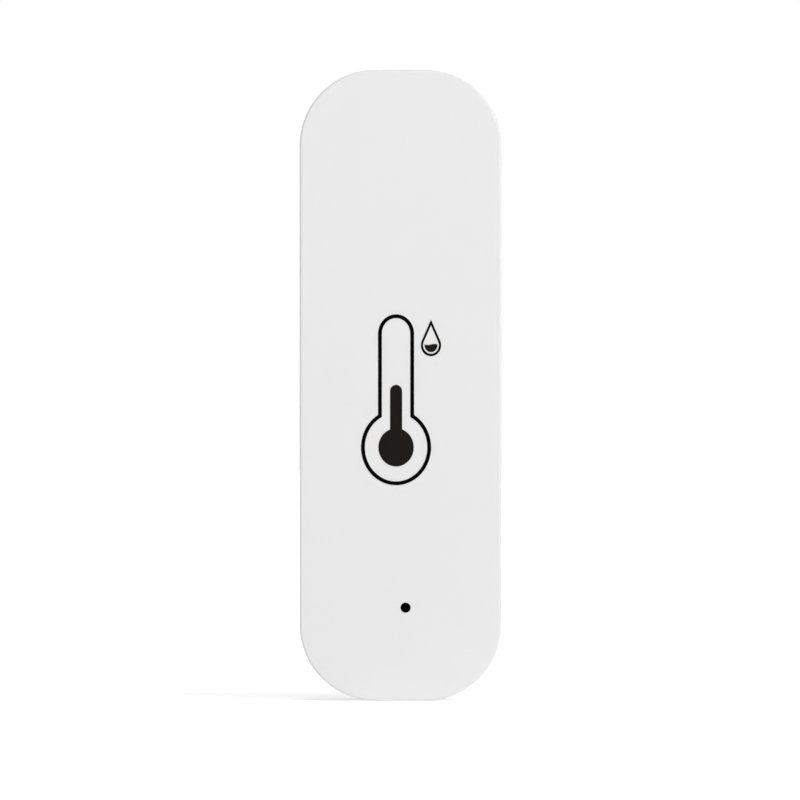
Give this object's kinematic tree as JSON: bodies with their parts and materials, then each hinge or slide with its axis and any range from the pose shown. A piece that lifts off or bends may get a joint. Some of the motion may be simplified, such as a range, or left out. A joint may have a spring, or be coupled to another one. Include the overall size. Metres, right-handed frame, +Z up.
{
  "type": "temperature humidity sensor",
  "caption": "Slim white upright bar that senses air temperature and humidity, with thermometer and droplet signs, a reset pinhole, side vents and a pull-off rear cover over its cells.",
  "frame": {"origin": "under the middle of the bar, on the surface that it stands on", "axes": "+Z up along the bar, +X to the right seen from the front, front face towards -Y"},
  "size_m": [0.0256, 0.0196, 0.08],
  "materials": {
    "white_casing": "fine satin moulded surface",
    "sign_ink": "flat black pad print",
    "cradle_plastic": "satin moulded surface",
    "board_laminate": "green solder mask with plated pads",
    "radio_laminate": "black solder mask with plated pads",
    "shield_steel": "tinned sheet, faint rolling lines",
    "aerial_gold": "gold-plated copper trace",
    "chip_black": "moulded chip package",
    "sensor_black": "moulded chip package with an open port",
    "inductor_ferrite": "grey ferrite",
    "capacitor_resin": "yellow moulded resin",
    "crystal_metal": "plated lid",
    "capacitor_ceramic": "fired tan ceramic with tinned ends",
    "resistor_ceramic": "black glaze with tinned ends",
    "led_resin": "clear yellowish resin",
    "switch_plastic": "black moulded plastic",
    "switch_steel": "stamped sheet",
    "contact_nickel": "nickel-plated sheet",
    "spring_wire": "nickel-plated wire",
    "cell_steel": "nickel-plated can",
    "cell_label": "plain glossy teal jacket with a pale grey end",
    "screw_steel": "zinc-plated",
    "foam_pad": "closed-cell foam with a tacky face"
  },
  "bodies": {
    "housing": {"front_shell": "white_casing", "thermometer_print": "sign_ink", "droplet_print": "sign_ink", "main_board": "board_laminate", "radio_board": "radio_laminate", "radio_shield": "shield_steel", "radio_antenna": "aerial_gold", "sensor_chip": "sensor_black", "controller_chip": "chip_black", "boost_chip": "chip_black", "power_inductor": "inductor_ferrite", "storage_capacitor": "capacitor_resin", "clock_crystal": "crystal_metal", "ceramic_capacitors": "capacitor_ceramic", "chip_resistors": "resistor_ceramic", "status_led": "led_resin", "switch_base": "switch_plastic", "switch_frame": "switch_steel", "switch_dome": "switch_steel", "battery_cradle": "cradle_plastic", "cradle_screws": "screw_steel", "positive_contact": "contact_nickel", "negative_contact": "contact_nickel", "negative_spring": "spring_wire", "bridge_contact": "contact_nickel", "bridge_spring": "spring_wire", "left_cell_can": "cell_steel", "left_cell_jacket": "cell_label", "left_cell_base": "cell_steel", "right_cell_can": "cell_steel", "right_cell_jacket": "cell_label", "right_cell_base": "cell_steel"},
    "rear_cover": {"rear_cover": "white_casing", "mounting_pad": "foam_pad"},
    "reset_button": {"switch_plunger": "switch_plastic"}
  },
  "joints": [
    {"name": "cover_pull", "type": "slide", "parent": "housing", "child": "rear_cover", "axis": [0, 1, 0], "range_m": [0, 0.03]},
    {"name": "reset_press", "type": "slide", "parent": "housing", "child": "reset_button", "axis": [0, 1, 0], "range_m": [0, 0.00025], "stiffness_N_per_m": 4000, "deforming": ["switch_dome"]}
  ]
}
